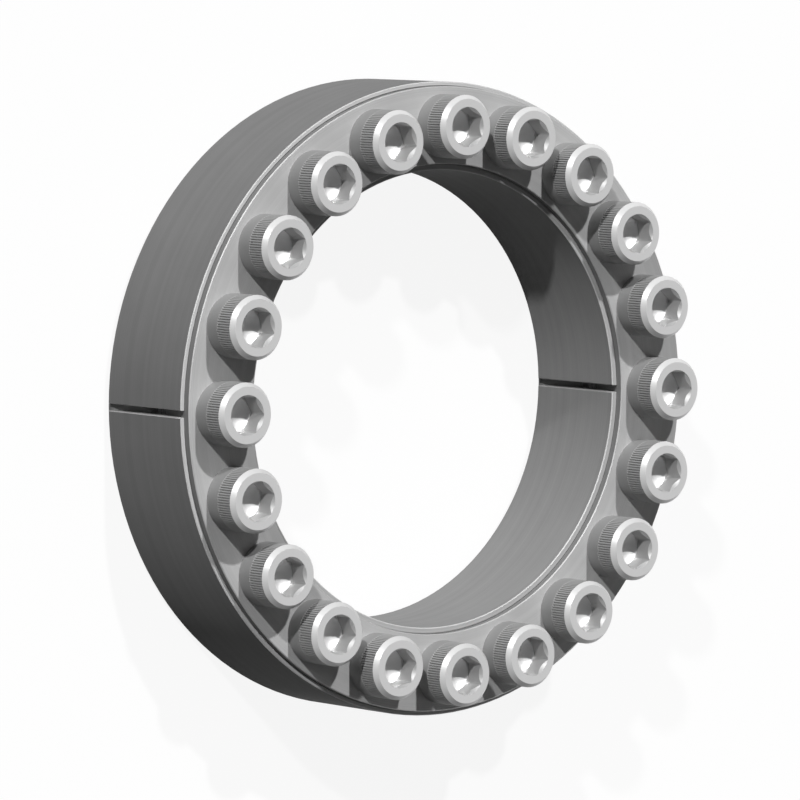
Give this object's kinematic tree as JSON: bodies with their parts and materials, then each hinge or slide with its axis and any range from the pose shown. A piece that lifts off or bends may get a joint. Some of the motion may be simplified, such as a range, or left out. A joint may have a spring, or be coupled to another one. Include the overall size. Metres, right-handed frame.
{
  "type": "shaft locking assembly",
  "caption": "Double taper shaft locking assembly: a slit outer and inner ring, spread and closed by two tapered thrust rings that a circle of socket head screws draws together.",
  "frame": {"origin": "centre of the rear thrust ring's rear face, which the part stands on", "axes": "+Z along the shaft axis, from the rear face towards the screw heads; +X through the slit of the inner ring; -X through the slit of the outer ring"},
  "size_m": [0.18, 0.18, 0.05],
  "materials": {
    "outer_ring": "fine turned steel, lightly oiled",
    "inner_ring": "fine turned steel, lightly oiled",
    "front_thrust_ring": "faced and turned steel, satin",
    "rear_thrust_ring": "faced and turned steel, satin",
    "screws": "bright zinc plated steel, satin, with a knurled head"
  },
  "bodies": {
    "rear_thrust_ring": {"rear_thrust_ring": "rear_thrust_ring"},
    "outer_ring": {"outer_ring": "outer_ring"},
    "inner_ring": {"inner_ring": "inner_ring"},
    "front_thrust_ring": {"front_thrust_ring": "front_thrust_ring"},
    "screw_01": {"screw_01": "screws"},
    "screw_02": {"screw_02": "screws"},
    "screw_03": {"screw_03": "screws"},
    "screw_04": {"screw_04": "screws"},
    "screw_05": {"screw_05": "screws"},
    "screw_06": {"screw_06": "screws"},
    "screw_07": {"screw_07": "screws"},
    "screw_08": {"screw_08": "screws"},
    "screw_09": {"screw_09": "screws"},
    "screw_10": {"screw_10": "screws"},
    "screw_11": {"screw_11": "screws"},
    "screw_12": {"screw_12": "screws"},
    "screw_13": {"screw_13": "screws"},
    "screw_14": {"screw_14": "screws"},
    "screw_15": {"screw_15": "screws"},
    "screw_16": {"screw_16": "screws"},
    "screw_17": {"screw_17": "screws"},
    "screw_18": {"screw_18": "screws"},
    "screw_19": {"screw_19": "screws"},
    "screw_20": {"screw_20": "screws"}
  },
  "joints": [
    {"name": "front_thrust_ring_lift", "type": "slide", "parent": "rear_thrust_ring", "child": "front_thrust_ring", "axis": [0, 0, 1], "range_m": [0, 0.0035]},
    {"name": "outer_ring_lift", "type": "slide", "parent": "rear_thrust_ring", "child": "outer_ring", "axis": [0, 0, 1], "range_m": [0, 0.00175]},
    {"name": "inner_ring_lift", "type": "slide", "parent": "rear_thrust_ring", "child": "inner_ring", "axis": [0, 0, 1], "range_m": [0, 0.00175]},
    {"name": "screw_01_turn", "type": "hinge", "parent": "front_thrust_ring", "child": "screw_01", "pos_m": [0, 0.0775, 0.038], "axis": [0, 0, 1], "range_deg": [0, 720]},
    {"name": "screw_02_turn", "type": "hinge", "parent": "front_thrust_ring", "child": "screw_02", "pos_m": [0.02395, 0.07371, 0.038], "axis": [0, 0, 1], "range_deg": [0, 720]},
    {"name": "screw_03_turn", "type": "hinge", "parent": "front_thrust_ring", "child": "screw_03", "pos_m": [0.04555, 0.0627, 0.038], "axis": [0, 0, 1], "range_deg": [0, 720]},
    {"name": "screw_04_turn", "type": "hinge", "parent": "front_thrust_ring", "child": "screw_04", "pos_m": [0.0627, 0.04555, 0.038], "axis": [0, 0, 1], "range_deg": [0, 720]},
    {"name": "screw_05_turn", "type": "hinge", "parent": "front_thrust_ring", "child": "screw_05", "pos_m": [0.07371, 0.02395, 0.038], "axis": [0, 0, 1], "range_deg": [0, 720]},
    {"name": "screw_06_turn", "type": "hinge", "parent": "front_thrust_ring", "child": "screw_06", "pos_m": [0.0775, 0, 0.038], "axis": [0, 0, 1], "range_deg": [0, 720]},
    {"name": "screw_07_turn", "type": "hinge", "parent": "front_thrust_ring", "child": "screw_07", "pos_m": [0.07371, -0.02395, 0.038], "axis": [0, 0, 1], "range_deg": [0, 720]},
    {"name": "screw_08_turn", "type": "hinge", "parent": "front_thrust_ring", "child": "screw_08", "pos_m": [0.0627, -0.04555, 0.038], "axis": [0, 0, 1], "range_deg": [0, 720]},
    {"name": "screw_09_turn", "type": "hinge", "parent": "front_thrust_ring", "child": "screw_09", "pos_m": [0.04555, -0.0627, 0.038], "axis": [0, 0, 1], "range_deg": [0, 720]},
    {"name": "screw_10_turn", "type": "hinge", "parent": "front_thrust_ring", "child": "screw_10", "pos_m": [0.02395, -0.07371, 0.038], "axis": [0, 0, 1], "range_deg": [0, 720]},
    {"name": "screw_11_turn", "type": "hinge", "parent": "front_thrust_ring", "child": "screw_11", "pos_m": [0, -0.0775, 0.038], "axis": [0, 0, 1], "range_deg": [0, 720]},
    {"name": "screw_12_turn", "type": "hinge", "parent": "front_thrust_ring", "child": "screw_12", "pos_m": [-0.02395, -0.07371, 0.038], "axis": [0, 0, 1], "range_deg": [0, 720]},
    {"name": "screw_13_turn", "type": "hinge", "parent": "front_thrust_ring", "child": "screw_13", "pos_m": [-0.04555, -0.0627, 0.038], "axis": [0, 0, 1], "range_deg": [0, 720]},
    {"name": "screw_14_turn", "type": "hinge", "parent": "front_thrust_ring", "child": "screw_14", "pos_m": [-0.0627, -0.04555, 0.038], "axis": [0, 0, 1], "range_deg": [0, 720]},
    {"name": "screw_15_turn", "type": "hinge", "parent": "front_thrust_ring", "child": "screw_15", "pos_m": [-0.07371, -0.02395, 0.038], "axis": [0, 0, 1], "range_deg": [0, 720]},
    {"name": "screw_16_turn", "type": "hinge", "parent": "front_thrust_ring", "child": "screw_16", "pos_m": [-0.0775, 0, 0.038], "axis": [0, 0, 1], "range_deg": [0, 720]},
    {"name": "screw_17_turn", "type": "hinge", "parent": "front_thrust_ring", "child": "screw_17", "pos_m": [-0.07371, 0.02395, 0.038], "axis": [0, 0, 1], "range_deg": [0, 720]},
    {"name": "screw_18_turn", "type": "hinge", "parent": "front_thrust_ring", "child": "screw_18", "pos_m": [-0.0627, 0.04555, 0.038], "axis": [0, 0, 1], "range_deg": [0, 720]},
    {"name": "screw_19_turn", "type": "hinge", "parent": "front_thrust_ring", "child": "screw_19", "pos_m": [-0.04555, 0.0627, 0.038], "axis": [0, 0, 1], "range_deg": [0, 720]},
    {"name": "screw_20_turn", "type": "hinge", "parent": "front_thrust_ring", "child": "screw_20", "pos_m": [-0.02395, 0.07371, 0.038], "axis": [0, 0, 1], "range_deg": [0, 720]}
  ],
  "couplings": [
    {"joint": "outer_ring_lift", "follows": "front_thrust_ring_lift", "ratio": 0.5},
    {"joint": "inner_ring_lift", "follows": "front_thrust_ring_lift", "ratio": 0.5},
    {"joint": "screw_01_turn", "follows": "front_thrust_ring_lift", "rad_per_m": 3590.4},
    {"joint": "screw_02_turn", "follows": "front_thrust_ring_lift", "rad_per_m": 3590.4},
    {"joint": "screw_03_turn", "follows": "front_thrust_ring_lift", "rad_per_m": 3590.4},
    {"joint": "screw_04_turn", "follows": "front_thrust_ring_lift", "rad_per_m": 3590.4},
    {"joint": "screw_05_turn", "follows": "front_thrust_ring_lift", "rad_per_m": 3590.4},
    {"joint": "screw_06_turn", "follows": "front_thrust_ring_lift", "rad_per_m": 3590.4},
    {"joint": "screw_07_turn", "follows": "front_thrust_ring_lift", "rad_per_m": 3590.4},
    {"joint": "screw_08_turn", "follows": "front_thrust_ring_lift", "rad_per_m": 3590.4},
    {"joint": "screw_09_turn", "follows": "front_thrust_ring_lift", "rad_per_m": 3590.4},
    {"joint": "screw_10_turn", "follows": "front_thrust_ring_lift", "rad_per_m": 3590.4},
    {"joint": "screw_11_turn", "follows": "front_thrust_ring_lift", "rad_per_m": 3590.4},
    {"joint": "screw_12_turn", "follows": "front_thrust_ring_lift", "rad_per_m": 3590.4},
    {"joint": "screw_13_turn", "follows": "front_thrust_ring_lift", "rad_per_m": 3590.4},
    {"joint": "screw_14_turn", "follows": "front_thrust_ring_lift", "rad_per_m": 3590.4},
    {"joint": "screw_15_turn", "follows": "front_thrust_ring_lift", "rad_per_m": 3590.4},
    {"joint": "screw_16_turn", "follows": "front_thrust_ring_lift", "rad_per_m": 3590.4},
    {"joint": "screw_17_turn", "follows": "front_thrust_ring_lift", "rad_per_m": 3590.4},
    {"joint": "screw_18_turn", "follows": "front_thrust_ring_lift", "rad_per_m": 3590.4},
    {"joint": "screw_19_turn", "follows": "front_thrust_ring_lift", "rad_per_m": 3590.4},
    {"joint": "screw_20_turn", "follows": "front_thrust_ring_lift", "rad_per_m": 3590.4}
  ]
}
